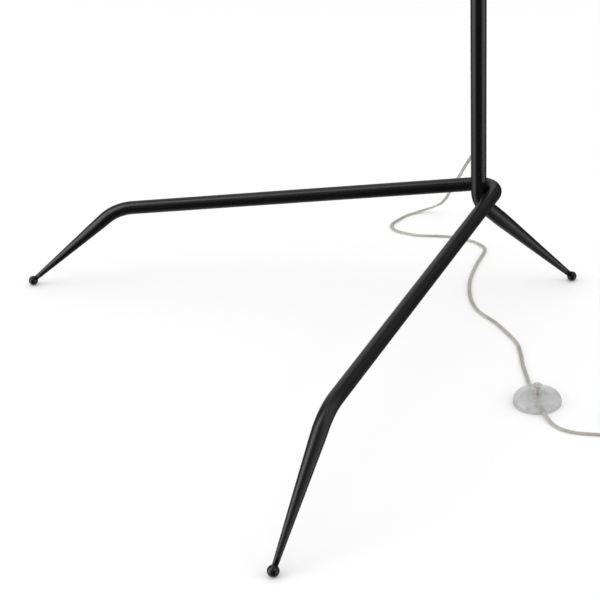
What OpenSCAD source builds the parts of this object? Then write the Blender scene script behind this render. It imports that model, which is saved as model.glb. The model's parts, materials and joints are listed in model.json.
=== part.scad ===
// Tripod floor lamp with a swivelling arm, a tilting dome shade and a foot switch on the mains lead.
// Units are millimetres and +Z is up. The long legs and the arm point along -Y, the short leg along +Y.
// The origin lies on the floor under the middle of the three feet.

/* [Pole] */
// Outside diameter of the pole
pole_d = 22; // [20:0.5:24]
// Wall thickness of the pole
pole_wall = 1.5; // [1.2:0.1:2]
// Height of the pole's top end
pole_top = 1420; // [1300:10:1500]
// Height of the joint between the lower and the middle section
joint_low = 640; // [560:10:700]
// Height of the joint between the middle and the upper section
joint_high = 1040; // [980:10:1100]

/* [Short leg] */
// Height at which the pole's centreline kinks into the short leg
rear_knee_z = 170; // [160:1:180]
// Distance from the pole's axis to the centre of the short leg's foot
rear_reach = 165.5; // [150:0.5:180]
// Centreline radius of the bend
rear_bend_r = 40; // [35:1:45]
// Length of the short leg below its bend that keeps the full diameter
rear_shank = 38; // [20:1:60]

/* [Long legs] */
// Outside diameter of the long legs' tube
leg_d = 20; // [18:0.5:21]
// Wall thickness of the long legs' tube
leg_wall = 1.5; // [1.2:0.1:2]
// Half of the angle between the long legs, seen from above
leg_spread = 36.6; // [33:0.1:40]
// Distance in plan from the point where the long legs' axes meet to each knee
leg_reach = 581.5; // [520:0.5:620]
// Fall of each long leg over that distance
leg_drop = 56.5; // [40:0.5:70]
// Distance in plan from a knee to the centre of its foot
foot_reach = 149.5; // [130:0.5:170]
// Height at which the long legs' axes meet
hub_z = 190; // [185:1:200]
// Centreline radius of the loop around the pole
loop_r = 30; // [28:1:34]
// Centreline radius of each knee
knee_r = 82; // [60:1:100]

/* [Feet] */
// Diameter of the ball feet
ball_d = 14.4; // [13:0.2:16]
// Diameter of the long legs' tips
tip_d = 7; // [6:0.5:8]
// Diameter of the short leg's tip
rear_tip_d = 8; // [7:0.5:9]

/* [Arm] */
// Outside diameter of the arm
arm_d = 14; // [12:0.5:14]
// Wall thickness of the arm
arm_wall = 1.2; // [1:0.1:1.5]
// Angle at which the arm rises away from the pole
arm_rise = 12; // [5:1:20]
// Length of the arm's straight middle
arm_run = 280; // [240:5:290]
// Centreline radius of the bend above the pole
arm_bend_r = 70; // [60:1:80]
// Centreline radius of the bend above the shade
arm_tip_r = 50; // [40:1:55]

/* [Shade] */
// Diameter of the shade's mouth
shade_d = 260; // [240:5:270]
// Radius of the dome
dome_r = 145; // [140:1:160]
// Diameter of the shade's neck
neck_d = 50; // [48:1:54]
// Length of the straight part of the neck
neck_h = 52; // [50:1:60]
// Thickness of the spun sheet
sheet = 1.2; // [1:0.1:1.5]

/* [Mains lead] */
// Width of the flat twin lead
cord_w = 6; // [5:0.1:6]
// Thickness of the flat twin lead
cord_t = 3.2; // [2.8:0.1:3.2]
// Height of the hole where the lead leaves the pole
exit_z = 226; // [222:1:230]

/* [Foot switch] */
// Diameter of the foot switch
switch_d = 64; // [62:1:66]
// Height of the foot switch's cover
switch_h = 15.6; // [15:0.1:17]
// Diameter of the button
button_d = 11.6; // [11:0.1:12]
// Height of the button's top above the floor
button_top = 28.4; // [27:0.1:30]
// Travel of the button
button_travel = 3; // [2:0.1:3]

/* [Hidden] */
$fn = 64;
run_fit = 0.05;
// the bends and straights of one tube meet inside a thin ring of its own metal: the ring's half length,
// how far it stands proud, and the angle by which each bend stops short inside it
seam = 0.2;
proud = 0.16;
trim = 0.12;

pole_r = pole_d / 2;
pole_in = pole_r - pole_wall;
leg_r = leg_d / 2;
leg_in = leg_r - leg_wall;
arm_r = arm_d / 2;
arm_in = arm_r - arm_wall;
ball_r = ball_d / 2;
// bore that carries the ball's stud, and how far the tube's tip stops short of the ball's centre
stud_r = 1.7;
stud_len = 12;
tip_stop = 5;
// the tube's hollow narrows to a point inside that bore: its last radius, and how far the two run together
bore_tip_r = 1.2;
bore_lap = 2;

// long legs: slope, tilt of the plane that both lie in, and the half angle measured in that plane
leg_slope = atan(leg_drop / leg_reach);
hub_tilt = atan(leg_drop / leg_reach / cos(leg_spread));
half_in = atan(tan(leg_spread) * cos(hub_tilt));
loop_tan = loop_r / tan(half_in);
hub_gap = 0.1;
foot_slope = atan((hub_z - leg_drop - ball_r) / foot_reach);
knee_a = foot_slope - leg_slope;
knee_tan = knee_r * tan(knee_a / 2);
leg_run = norm([leg_reach, leg_drop]) - loop_tan - knee_tan;
shank = 5;
foot_len = norm([foot_reach, hub_z - leg_drop - ball_r]) - knee_tan;
leg_taper = foot_len - shank - tip_stop;

// short leg: angle from the vertical, and its lengths
rear_a = atan(rear_reach / (rear_knee_z - ball_r));
rear_tan = rear_bend_r * tan(rear_a / 2);
rear_run = joint_low - rear_knee_z - rear_tan;
rear_len = norm([rear_reach, rear_knee_z - ball_r]) - rear_tan;
rear_taper = rear_len - rear_shank - tip_stop;

// plan: where the long legs' axes meet behind the pole, and where that puts the pole
vertex_back = pole_r + leg_r + hub_gap + (loop_r / sin(half_in) - loop_r) * cos(hub_tilt);
front_foot = (leg_reach + foot_reach) * cos(leg_spread) - vertex_back;
pole_y = (front_foot - rear_reach) / 2;

// couplers inside the pole
coupler_half = 35;
coupler_in = 6;

// arm: heights and reach, then the stack that hangs from its end
stem_foot = pole_top - 38;
stem_top = pole_top + 40;
arm_turn = 90 - arm_rise;
tip_turn = 90 + arm_rise;
arm_end_run = 14;
arm_y = pole_y - arm_bend_r * (1 - cos(arm_turn)) - arm_run * cos(arm_rise)
    - arm_tip_r * (1 + sin(arm_rise));
arm_end_z = stem_top + arm_bend_r * sin(arm_turn) + arm_run * sin(arm_rise)
    - arm_tip_r * cos(arm_rise) - arm_end_run;
ferrule_h = 12;
fork_top = arm_end_z - ferrule_h - 1;
pin_z = fork_top - 19;
pin_r = 3;
slot_half = 3.15;
flat_x = 8.5;
plate_z = pin_z - 20;

// shade profile: the fillet between neck and dome, then the dome down to the mouth
neck_r = neck_d / 2;
fillet_r = 12;
fillet_z = plate_z - neck_h;
dome_z = fillet_z - sqrt(pow(dome_r + fillet_r, 2) - pow(neck_r + fillet_r, 2));
join_a = asin((neck_r + fillet_r) / (dome_r + fillet_r));
mouth_a = asin(shade_d / 2 / dome_r);

// lampholder and bulb
nipple_r = 5;
holder_r = 19.5;
holder_top = plate_z - 7;
holder_h = 46;
holder_in = 14.2;
cap_r = 13.2;
cap_top = holder_top - 16;
cap_h = 25;
bulb_len = 105;
bulb_r = 30;
bulb_z = cap_top - bulb_len + bulb_r;

// arm lock
socket_r = 14;
socket_h = 26;
lock_z = pole_top + 13;
lock_r = 3;

// lead: direction and place of the hole in the pole
exit_az = 160;
exit_hole_r = 4.5;
lead_bore_r = 3.7;
relief_end = 31;

// foot switch: its place and direction, its shell, and the parts inside
switch_x = 273.5;
switch_y = 107.5;
switch_az = -20;
switch_r = switch_d / 2;
base_h = 3;
rim_h = 5;
cover_wall = 1.8;
dish_r = 14;
dish_floor_r = 9.2;
dish_z = switch_h - 3.6;
button_r = button_d / 2;
screw_angles = [45, 135, 225, 315];
screw_pitch_r = 24;
cord_in_z = base_h + 2.4;
cord_in_x = 14;
press_z = 5.2;
plate_t = 0.5;
button_z = press_z + plate_t + 0.4 + button_travel;
button_cap = 3;
plunger_r = 1.8;
lead_r = 0.6;
terminal_x = 9;
terminal_y = 2.4;
spring_turns = 8;
spring_r = 2.9;
spring_wire = 0.35;

// coil and plug
coil_x = 388;
coil_y = 194;
coil_mid_r = 34;
coil_half_w = 6.6;
coil_h = 10.8;
plug_y = 262;
plug_w = 35.3;
plug_h = 13.7;
plug_len = 36;
prong_r = 2;
prong_len = 19;
prong_gap = 19;
root_r = 1.4;
prong_root = 12;

// the lead from the pole to the foot switch, and from the switch to the coil
upper_route = [
    [-9, 193, 226], [-29, 200.5, 226], [-40, 204.5, 223], [-53, 210, 214.5], [-74, 218, 199],
    [-101, 227, 176.5], [-156, 248.5, 133.5], [-211.5, 270, 91], [-235.5, 277, 69], [-263, 285.5, 49.5],
    [-284.5, 295.5, 37.5], [-313.5, 312.5, 22.5], [-332.5, 308.5, 10.5], [-343.5, 291.5, 3.5],
    [-345.5, 277.5, 1.6], [-344, 265.5, 1.6], [-337, 247, 1.6], [-327.5, 229.5, 1.6], [-313.5, 221, 1.6],
    [-297, 222, 1.6], [-275, 234, 1.6], [-263, 243.5, 1.6], [-245.5, 267, 1.6], [-228.5, 284.5, 1.6],
    [-198.5, 302.5, 1.6], [-176, 306.5, 1.6], [-160.5, 302.5, 1.6], [-147, 290.5, 1.6], [-117, 258, 1.6],
    [-75.5, 221.5, 1.6], [-30.5, 194.5, 1.6], [12, 181, 1.6], [61.5, 182, 1.6], [121.5, 174.5, 1.6],
    [152, 162, 1.6], [182, 146, 1.6], [209.5, 133.5, 1.6], [227, 125, 2.8], [242.5, 118.8, 5.2],
    [260.3, 112.3, 5.4]
];
lower_route = [
    [286.7, 102.7, 5.4], [304.5, 96.2, 5.2], [319, 93.5, 2.8], [334, 92.5, 1.6], [349, 96, 1.6],
    [365, 107.5, 1.6], [381, 126.5, 1.6], [396, 144.5, 1.6], [411, 162.5, 1.8]
];
tail_route = [[421, 208, 8.2], [422, 216, 8.2], [422, 228, 7.4], [422, 240, 6.85], [422, 248.5, 6.85]];

// ---- shapes used by several parts ----

module bar(r, from, to) translate([from, 0, 0]) rotate([0, 90, 0]) cylinder(r = r, h = to - from);

module seam_ring(r) bar(r + proud, -seam, seam);

// A round bar in the XZ plane: straight along +X, then bent down, once for each [run, bend radius, angle].
// Children continue from its end.
module pipe(r, legs, from = 0, i = 0) {
    run = legs[i][0];
    bend_r = legs[i][1];
    bend_a = legs[i][2];
    bar(r, from, run - seam / 2);
    translate([run, 0, 0]) {
        seam_ring(r);
        translate([0, 0, -bend_r]) rotate([90, 0, 0]) rotate([0, 0, 90 - bend_a + trim])
            rotate_extrude(angle = bend_a - 2 * trim) translate([bend_r, 0]) circle(r);
        translate([bend_r * sin(bend_a), 0, -bend_r * (1 - cos(bend_a))]) rotate([0, bend_a, 0]) {
            seam_ring(r);
            if (i + 1 < len(legs)) pipe(r, legs, seam / 2, i + 1) children();
            else children();
        }
    }
}

// A straight bar that narrows, along +X
module tapered(r, run, tip, taper) {
    bar(r, seam / 2, run);
    translate([run, 0, 0]) rotate([0, 90, 0]) cylinder(r1 = r, r2 = tip, h = taper);
}

module tube(r, inner, h) {
    difference() {
        cylinder(r = r, h = h);
        translate([0, 0, -1]) cylinder(r = inner, h = h + 2);
    }
}

// A ball foot at the origin, with the tube's tip coming in along -X
module ball_foot(tip) {
    difference() {
        sphere(r = ball_r);
        translate([-ball_r - 1, 0, 0]) rotate([0, 90, 0])
            cylinder(r = tip + 0.3, h = ball_r + 1 - tip_stop);
    }
    translate([-tip_stop - stud_len, 0, 0]) rotate([0, 90, 0])
        cylinder(r = stud_r - run_fit, h = stud_len + 1);
}

// A strip of sheet along an arc, between two angles, as a flat outline
module arc_strip(outer, inner, from, to) {
    far = outer * 2;
    steps = 6;
    intersection() {
        difference() {
            circle(outer, $fn = 128);
            circle(inner, $fn = 128);
        }
        polygon(concat([[0, 0]], [
            for (i = [0:steps]) let (a = from + (to - from) * i / steps) far * [cos(a), sin(a)]
        ]));
    }
}

function catmull(a, b, c, d, t) =
    0.5 * (2 * b + (c - a) * t + (2 * a - 5 * b + 4 * c - d) * t * t
        + (3 * b - a - 3 * c + d) * t * t * t);

function smooth(p, n) = concat(
    [for (i = [0:len(p) - 2], j = [0:n - 1])
        catmull(p[max(i - 1, 0)], p[i], p[i + 1], p[min(i + 2, len(p) - 1)], j / n)],
    [p[len(p) - 1]]);

function unit(v) = v / norm(v);

function heading(p, i) = unit(p[min(i + 1, len(p) - 1)] - p[max(i - 1, 0)]);

// A bar of oval section swept along a list of points, its width kept level
module swept(p, half_w, half_t, sides) {
    points = [
        for (i = [0:len(p) - 1])
            let (t = heading(p, i), side = unit(cross([0, 0, 1], t)), up = cross(t, side))
            for (k = [0:sides - 1])
                p[i] + side * half_w * cos(360 * k / sides) + up * half_t * sin(360 * k / sides)
    ];
    last = len(p) - 1;
    faces = concat(
        [for (i = [0:last - 1], k = [0:sides - 1])
            let (a = i * sides + k, b = i * sides + (k + 1) % sides) [a, a + sides, b]],
        [for (i = [0:last - 1], k = [0:sides - 1])
            let (a = i * sides + k, b = i * sides + (k + 1) % sides) [b, a + sides, b + sides]],
        [[for (k = [0:sides - 1]) k]],
        [[for (k = [sides - 1:-1:0]) last * sides + k]]
    );
    polyhedron(points, faces, convexity = 10);
}

// A length of the flat lead, lying on its wide side; n steps to each stretch of its route
module flat_lead(route, n) swept(smooth(route, n), cord_w / 2, cord_t / 2, 8);

// ---- pole and legs ----

module at_pole(z) translate([0, pole_y, z]) children();

// Local +X runs down the pole and local -Z is the side that the short leg points to
module down_pole() at_pole(joint_low) rotate([0, 90, -90]) children();

module pole_bar(r, tip, over, short = 0) {
    down_pole() translate([-over, 0, 0]) pipe(r, [[rear_run + over, rear_bend_r, rear_a]])
        tapered(r, rear_shank, tip, rear_taper - short);
}

module pole_exit(r, from, to) {
    at_pole(exit_z) rotate([0, 0, exit_az]) translate([from, 0, 0]) rotate([0, 90, 0])
        cylinder(r = r, h = to - from);
}

module pole_lower() color([0.10, 0.10, 0.105]) difference() {
    pole_bar(pole_r, rear_tip_d / 2, 0);
    pole_bar(pole_in, bore_tip_r, 1, stud_len - bore_lap);
    rear_tip() rotate([0, 90, 0]) translate([0, 0, -stud_len]) cylinder(r = stud_r, h = stud_len + 1);
    pole_exit(exit_hole_r, 5, pole_r + 2);
}

// The end face of the short leg, with +X along the leg
module rear_tip() {
    down_pole() translate([rear_run, 0, 0])
        translate([rear_bend_r * sin(rear_a), 0, -rear_bend_r * (1 - cos(rear_a))])
        rotate([0, rear_a, 0]) translate([rear_len - tip_stop, 0, 0]) children();
}

module at_vertex() translate([0, pole_y + vertex_back, hub_z]) children();

// Local +X runs down a long leg from the point where the two axes meet; side is 1 or -1 in X
module along_leg(side) at_vertex() rotate([0, 0, -90 + side * leg_spread]) rotate([0, leg_slope, 0])
    translate([loop_tan, 0, 0]) children();

module leg_bar(side, r, tip, short) along_leg(side) {
    seam_ring(r);
    pipe(r, [[leg_run, knee_r, knee_a]], seam / 2) tapered(r, shank, tip, leg_taper - short);
}

module leg_tip(side) along_leg(side) translate([leg_run, 0, 0])
    translate([knee_r * sin(knee_a), 0, -knee_r * (1 - cos(knee_a))]) rotate([0, knee_a, 0])
    translate([foot_len - tip_stop, 0, 0]) children();

module loop_bar(r) at_vertex() rotate([hub_tilt, 0, 0]) translate([0, -loop_r / sin(half_in), 0])
    rotate([0, 0, half_in + trim]) rotate_extrude(angle = 180 - 2 * half_in - 2 * trim)
    translate([loop_r, 0]) circle(r);

module leg_pair_bar(r, tip, short = 0) {
    loop_bar(r);
    for (side = [-1, 1]) leg_bar(side, r, tip, short);
}

module leg_pair() color([0.10, 0.10, 0.105]) difference() {
    leg_pair_bar(leg_r, tip_d / 2);
    leg_pair_bar(leg_in, bore_tip_r, stud_len - bore_lap);
    for (side = [-1, 1]) leg_tip(side) rotate([0, 90, 0]) translate([0, 0, -stud_len])
        cylinder(r = stud_r, h = stud_len + 1);
}

// Weld metal in the wedge between the pole and the loop
module hub_welds() color([0.11, 0.11, 0.115]) difference() {
    at_pole(hub_z - 2.4) rotate([-90, 0, 0]) translate([0, 0, pole_r - 2.5]) cylinder(r = 6, h = 5);
    pole_bar(pole_r, rear_tip_d / 2, 0);
    loop_bar(leg_r);
}

module foot_left() color([0.07, 0.07, 0.075]) leg_tip(-1) translate([tip_stop, 0, 0]) ball_foot(tip_d / 2);

module foot_right() color([0.07, 0.07, 0.075]) leg_tip(1) translate([tip_stop, 0, 0]) ball_foot(tip_d / 2);

module foot_rear() color([0.07, 0.07, 0.075]) rear_tip() translate([tip_stop, 0, 0])
    ball_foot(rear_tip_d / 2);

// ---- pole sections ----

module coupler(z) at_pole(z - coupler_half) tube(pole_in - run_fit, coupler_in, 2 * coupler_half);

module section(from, to) {
    chamfer = 0.4;
    at_pole(from) difference() {
        union() {
            cylinder(r1 = pole_r - chamfer, r2 = pole_r, h = chamfer);
            translate([0, 0, chamfer]) cylinder(r = pole_r, h = to - from - 2 * chamfer);
            translate([0, 0, to - from - chamfer]) cylinder(r1 = pole_r, r2 = pole_r - chamfer, h = chamfer);
        }
        translate([0, 0, -1]) cylinder(r = pole_in, h = to - from + 2);
    }
}

module pole_coupler_lower() color([0.62, 0.62, 0.63]) coupler(joint_low);

module pole_middle() color([0.10, 0.10, 0.105]) section(joint_low, joint_high);

module pole_coupler_upper() color([0.62, 0.62, 0.63]) coupler(joint_high);

module pole_upper() color([0.10, 0.10, 0.105]) section(joint_high, pole_top);

// ---- lead inside the pole ----

module cord_grommet() color([0.82, 0.82, 0.80]) difference() {
    union() {
        pole_exit(exit_hole_r - run_fit, 8.4, pole_r + 0.2);
        pole_exit(6.2, pole_r + 0.1, pole_r + 1.8);
        at_pole(exit_z) rotate([0, 0, exit_az]) translate([pole_r + 1.8, 0, 0]) rotate([0, 90, 0])
            cylinder(r1 = 5.6, r2 = lead_bore_r + 0.7, h = relief_end - pole_r - 1.8);
    }
    pole_exit(lead_bore_r, 7, relief_end + 1);
}

module wire_pole() color([0.80, 0.80, 0.77]) {
    r = 2.5;
    turn_r = 6.5;
    at_pole(exit_z) rotate([0, 0, exit_az]) {
        translate([turn_r, 0, 0]) rotate([0, 90, 0]) cylinder(r = r, h = 1.5);
        translate([turn_r, 0, turn_r]) rotate([90, 0, 0]) rotate([0, 0, 180])
            rotate_extrude(angle = 90) translate([turn_r, 0]) circle(r);
        translate([0, 0, turn_r]) cylinder(r = r, h = stem_foot - 8 - exit_z - turn_r);
    }
}

// ---- arm mounting on the pole ----

module arm_bush() color([0.90, 0.90, 0.86]) at_pole(pole_top - 36)
    tube(pole_in - run_fit, arm_r + run_fit, 35);

module arm_socket() color([0.10, 0.10, 0.105]) at_pole(pole_top) difference() {
    union() {
        translate([0, 0, -24]) cylinder(r = socket_r, h = 24 + socket_h - 2);
        translate([0, 0, socket_h - 2]) cylinder(r1 = socket_r, r2 = socket_r - 2, h = 2);
    }
    translate([0, 0, -25]) cylinder(r = pole_r + run_fit, h = 25 + run_fit);
    cylinder(r = arm_r + run_fit, h = socket_h + 1);
    translate([0, 0, lock_z - pole_top]) rotate([-90, 0, 0]) cylinder(r = lock_r, h = socket_r + 1);
    translate([0, 0, -14]) rotate([0, 90, 0]) cylinder(r = 2, h = socket_r + 1);
}

module socket_grub_screw() color([0.45, 0.45, 0.46]) at_pole(pole_top - 14) rotate([0, 90, 0])
    translate([0, 0, pole_r + 0.1]) difference() {
        cylinder(r = 2 - run_fit, h = 2.6);
        translate([0, 0, 1.2]) cylinder(r = 1, h = 2, $fn = 6);
    }

// Lock screw on the side that the short leg points to
module arm_lock_screw() color([0.10, 0.10, 0.105]) at_pole(lock_z) rotate([-90, 0, 0]) {
    knob_r = 9;
    knob_h = 9;
    grips = 12;
    translate([0, 0, arm_r + 0.1]) cylinder(r = lock_r - run_fit, h = socket_r + 2 - arm_r);
    translate([0, 0, socket_r + 0.3]) cylinder(r = 5, h = 2.2);
    translate([0, 0, socket_r + 2.5]) difference() {
        union() {
            cylinder(r = knob_r, h = knob_h - 1);
            translate([0, 0, knob_h - 1]) cylinder(r1 = knob_r, r2 = knob_r - 1, h = 1);
        }
        for (i = [0:grips - 1]) rotate([0, 0, 360 * i / grips]) translate([knob_r + 0.6, 0, -1])
            cylinder(r = 1.5, h = knob_h + 2);
    }
}

// ---- arm ----

module arm_bar(r, over) {
    at_pole(stem_foot - over) rotate([0, 90, 90]) mirror([1, 0, 0])
        pipe(r, [[stem_top - stem_foot + over, arm_bend_r, arm_turn], [arm_run, arm_tip_r, tip_turn]])
        bar(r, seam / 2, arm_end_run + over);
}

module arm_tube() color([0.10, 0.10, 0.105]) difference() {
    arm_bar(arm_r, 0);
    arm_bar(arm_in, 1);
}

module wire_arm() color([0.80, 0.80, 0.77]) arm_bar(2.2, -6);

module at_arm_end(z) translate([0, arm_y, z]) children();

module arm_ferrule() color([0.10, 0.10, 0.105]) at_arm_end(arm_end_z - ferrule_h) difference() {
    union() {
        cylinder(r = 9.5, h = ferrule_h + 10);
        translate([0, 0, ferrule_h + 10]) cylinder(r1 = 9.5, r2 = 7.8, h = 2);
    }
    translate([0, 0, -1]) cylinder(r = 5 + run_fit, h = ferrule_h + 2);
    translate([0, 0, ferrule_h]) cylinder(r = arm_r + run_fit, h = 13);
}

module swivel_ring() color([0.62, 0.62, 0.63]) at_arm_end(arm_end_z + 0.1) tube(5.6, 3.9 + run_fit, 1.6);

module swivel_washer() color([0.90, 0.90, 0.86]) at_arm_end(fork_top + run_fit)
    tube(9, 5 + 2 * run_fit, 1 - 2 * run_fit);

// ---- knuckle ----

module knuckle_fork() color([0.10, 0.10, 0.105]) at_arm_end(pin_z) difference() {
    union() {
        intersection() {
            cylinder(r = 10.5, h = fork_top - pin_z);
            union() {
                translate([0, 0, 11]) cylinder(r = 10.5, h = fork_top - pin_z - 11);
                translate([-flat_x, -9.5, 0]) cube([2 * flat_x, 19, 12]);
            }
        }
        intersection() {
            translate([-flat_x, 0, 0]) rotate([0, 90, 0]) cylinder(r = 9.5, h = 2 * flat_x);
            translate([0, 0, -10]) cylinder(r = 10.5, h = 20);
        }
        translate([0, 0, fork_top - pin_z - 1]) cylinder(r = 5, h = ferrule_h + 2);
        translate([0, 0, fork_top - pin_z + ferrule_h]) cylinder(r = 3.9, h = 5);
    }
    translate([-slot_half, -12, -12]) cube([2 * slot_half, 24, 23]);
    translate([-flat_x - 1, 0, 0]) rotate([0, 90, 0]) cylinder(r = pin_r, h = 2 * flat_x + 2);
    cylinder(r = 2.6, h = 60);
}

module knuckle_pin() color([0.62, 0.62, 0.63]) at_arm_end(pin_z) rotate([0, 90, 0]) {
    translate([0, 0, -flat_x - 0.1]) cylinder(r = pin_r - run_fit, h = 2 * flat_x + 8);
    translate([0, 0, -flat_x - 3.2]) difference() {
        cylinder(r = 5.5, h = 3.1);
        translate([-0.6, -7, -1]) cube([1.2, 14, 2.2]);
    }
}

module knuckle_washer() color([0.62, 0.62, 0.63]) at_arm_end(pin_z) rotate([0, 90, 0])
    translate([0, 0, flat_x + 0.1]) tube(5.8, pin_r + run_fit, 0.9);

module knuckle_wing_nut() color([0.10, 0.10, 0.105]) at_arm_end(pin_z) rotate([0, 90, 0])
    translate([0, 0, flat_x + 1.2]) difference() {
        union() {
            cylinder(r1 = 5.4, r2 = 4.4, h = 6);
            for (a = [0, 180]) rotate([0, 0, a]) translate([0, -1, 0]) rotate([90, 0, 0])
                translate([0, 0, -2]) linear_extrude(2) hull() {
                    translate([3.4, 2]) circle(1.6);
                    translate([9.5, 6]) circle(2.6);
                    translate([3.4, 4]) circle(1.6);
                }
        }
        translate([0, 0, -1]) cylinder(r = pin_r, h = 12);
    }

// Tongue and threaded boss that carry the shade
module shade_neck() color([0.10, 0.10, 0.105]) at_arm_end(pin_z) difference() {
    half = slot_half - 0.15;
    union() {
        translate([-half, 0, 0]) rotate([0, 90, 0]) cylinder(r = 9.2, h = 2 * half);
        translate([-half, -5, -12]) cube([2 * half, 10, 12]);
        translate([0, 0, -12.5]) cylinder(r1 = 6.5, r2 = 5, h = 1);
        translate([0, 0, plate_z - pin_z + run_fit]) cylinder(r = 9, h = 7.5 - run_fit);
    }
    translate([-half - 1, 0, 0]) rotate([0, 90, 0]) cylinder(r = pin_r, h = 2 * half + 2);
    translate([0, 0, plate_z - pin_z - 1]) cylinder(r = nipple_r + run_fit, h = 7);
}

// ---- shade ----

// The middle of the dome's sheet, at an angle up from the horizontal
module on_dome(a) translate([0, dome_z]) rotate(a) translate([dome_r - sheet / 2, 0]) children();

module shade_shell() color([0.10, 0.10, 0.105]) at_arm_end(0) difference() {
    // a fine spinning mark, a circle in the outline, joins each stretch of the sheet to the next
    mark_r = sheet / 2 + 0.04;
    rotate_extrude($fn = 128) {
        translate([0, plate_z - sheet]) square([neck_r, sheet]);
        translate([neck_r - sheet, fillet_z + 0.1]) square([sheet, neck_h - 0.1]);
        translate([neck_r - sheet / 2, fillet_z]) circle(mark_r);
        translate([neck_r + fillet_r, fillet_z]) {
            arc_strip(fillet_r + sheet, fillet_r, 181, 269 - join_a);
            rotate(270 - join_a) translate([fillet_r + sheet / 2, 0]) circle(mark_r);
        }
        translate([0, dome_z]) arc_strip(dome_r, dome_r - sheet, 90 - mouth_a, 89.9 - join_a);
        on_dome(90 - mouth_a) circle(1.8);
    }
    translate([0, 0, plate_z - 2 * sheet]) cylinder(r = nipple_r + 2 * run_fit, h = 4 * sheet);
    // ring of vent holes around the top of the neck
    for (i = [0:11]) translate([0, 0, plate_z - 9]) rotate([0, 0, 30 * i]) rotate([0, 90, 0])
        translate([0, 0, neck_r - 5]) cylinder(r = 2.5, h = 10);
}

module shade_nipple() color([0.78, 0.66, 0.36]) at_arm_end(plate_z - 12) tube(nipple_r, 3.6, 17);

module shade_nuts() color([0.62, 0.62, 0.63]) at_arm_end(plate_z - sheet - 3.6) difference() {
    cylinder(r = 8.5, h = 3.5, $fn = 6);
    translate([0, 0, -1]) cylinder(r = nipple_r + run_fit, h = 6);
}

// ---- lampholder ----

module holder_body() color([0.08, 0.08, 0.08]) at_arm_end(holder_top - holder_h) difference() {
    union() {
        cylinder(r = holder_r, h = holder_h - 4);
        translate([0, 0, holder_h - 4]) cylinder(r1 = holder_r, r2 = holder_r - 4, h = 4);
    }
    translate([0, 0, -1]) cylinder(r = holder_in + 1.5, h = holder_h - 5);
    cylinder(r = nipple_r + run_fit, h = holder_h + 1);
}

module holder_core() color([0.93, 0.92, 0.88]) at_arm_end(holder_top - 13.5) difference() {
    cylinder(r = holder_in + 1.4, h = 7);
    translate([0, 0, -1]) cylinder(r = 2.2, h = 9);
    for (a = [90, 270]) rotate([0, 0, a]) translate([10, 0, 2]) cylinder(r = 2, h = 6);
}

module holder_sleeve() color([0.80, 0.68, 0.38]) at_arm_end(holder_top - 42)
    tube(holder_in, cap_r + 0.3, 28.4);

module holder_contact() color([0.80, 0.68, 0.38]) at_arm_end(holder_top - 15.9) {
    cylinder(r = 2, h = 8);
    translate([-6, -2.5, 1.4]) cube([12, 5, 0.9]);
}

// ---- bulb ----

module bulb_cap() color([0.82, 0.80, 0.74]) at_arm_end(cap_top - cap_h) {
    difference() {
        cylinder(r = cap_r, h = cap_h - 4);
        translate([0, 0, -1]) cylinder(r = cap_r - 0.8, h = cap_h - 5);
    }
    translate([0, 0, cap_h - 4]) cylinder(r1 = cap_r, r2 = 5, h = 3);
    translate([0, 0, cap_h - 1]) cylinder(r = 4, h = 1);
}

module bulb_outline(r) {
    stalk = cap_r - 1 - bulb_r + r;
    sphere(r = r);
    translate([0, 0, bulb_r * 0.62]) cylinder(r1 = r * 0.785, r2 = stalk, h = 26);
    translate([0, 0, bulb_r * 0.62 + 26]) cylinder(r = stalk, h = 12);
}

module bulb_glass() color([0.95, 0.93, 0.88, 0.35]) at_arm_end(bulb_z) difference() {
    bulb_outline(bulb_r);
    difference() {
        bulb_outline(bulb_r - 1);
        translate([-bulb_r, -bulb_r, bulb_r * 0.62 + 36]) cube([2 * bulb_r, 2 * bulb_r, 10]);
    }
    translate([0, 0, bulb_r * 0.62 + 30]) cylinder(r = 2, h = 20);
}

module bulb_stem() color([0.90, 0.90, 0.88]) at_arm_end(bulb_z) {
    translate([0, 0, 8]) cylinder(r = 2.2, h = 46);
    translate([0, 0, 50]) cylinder(r1 = 4, r2 = 8, h = 4);
}

module bulb_filaments() color([0.95, 0.78, 0.35]) at_arm_end(bulb_z) {
    count = 4;
    for (i = [0:count - 1]) rotate([0, 0, 45 + 360 * i / count]) translate([9, 0, -8])
        cylinder(r = 0.9, h = 36);
    difference() {
        translate([0, 0, -9]) cylinder(r = 10, h = 1);
        translate([0, 0, -10]) cylinder(r = 8, h = 3);
    }
    difference() {
        translate([0, 0, 28]) cylinder(r = 10, h = 1);
        translate([0, 0, 27]) cylinder(r = 2.3, h = 3);
    }
}

// ---- foot switch: local +X runs from the lamp's side to the plug's side ----

module at_switch() translate([switch_x, switch_y, 0]) rotate([0, 0, switch_az]) children();

module switch_base() color([0.80, 0.80, 0.84, 0.45]) at_switch() difference() {
    union() {
        cylinder(r = switch_r - 0.6, h = 0.8);
        translate([0, 0, 0.8]) cylinder(r = switch_r, h = base_h - 0.8);
    }
    at_screws() {
        translate([0, 0, -1]) cylinder(r = 1.6, h = base_h + 2);
        translate([0, 0, -1]) cylinder(r = 3, h = 3);
    }
}

module at_screws() for (a = screw_angles) rotate([0, 0, a]) translate([screw_pitch_r, 0, 0]) children();

// The cover's outline: rim, rounded shoulder, nearly flat top, and a dish round the button
module switch_shell(drop) {
    rotate_extrude($fn = 96) polygon([
        [0, base_h - 1], [switch_r - drop, base_h - 1], [switch_r - drop, rim_h],
        [switch_r - 1 - drop, switch_h - 5.6 - drop / 3],
        [switch_r - 3 - drop * 0.8, switch_h - 2.2 - drop * 0.7],
        [switch_r - 7 - drop / 2, switch_h - 0.6 - drop], [dish_r + drop / 2, switch_h - drop],
        [dish_floor_r + drop / 2, dish_z - drop], [0, dish_z - drop]
    ]);
}

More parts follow.
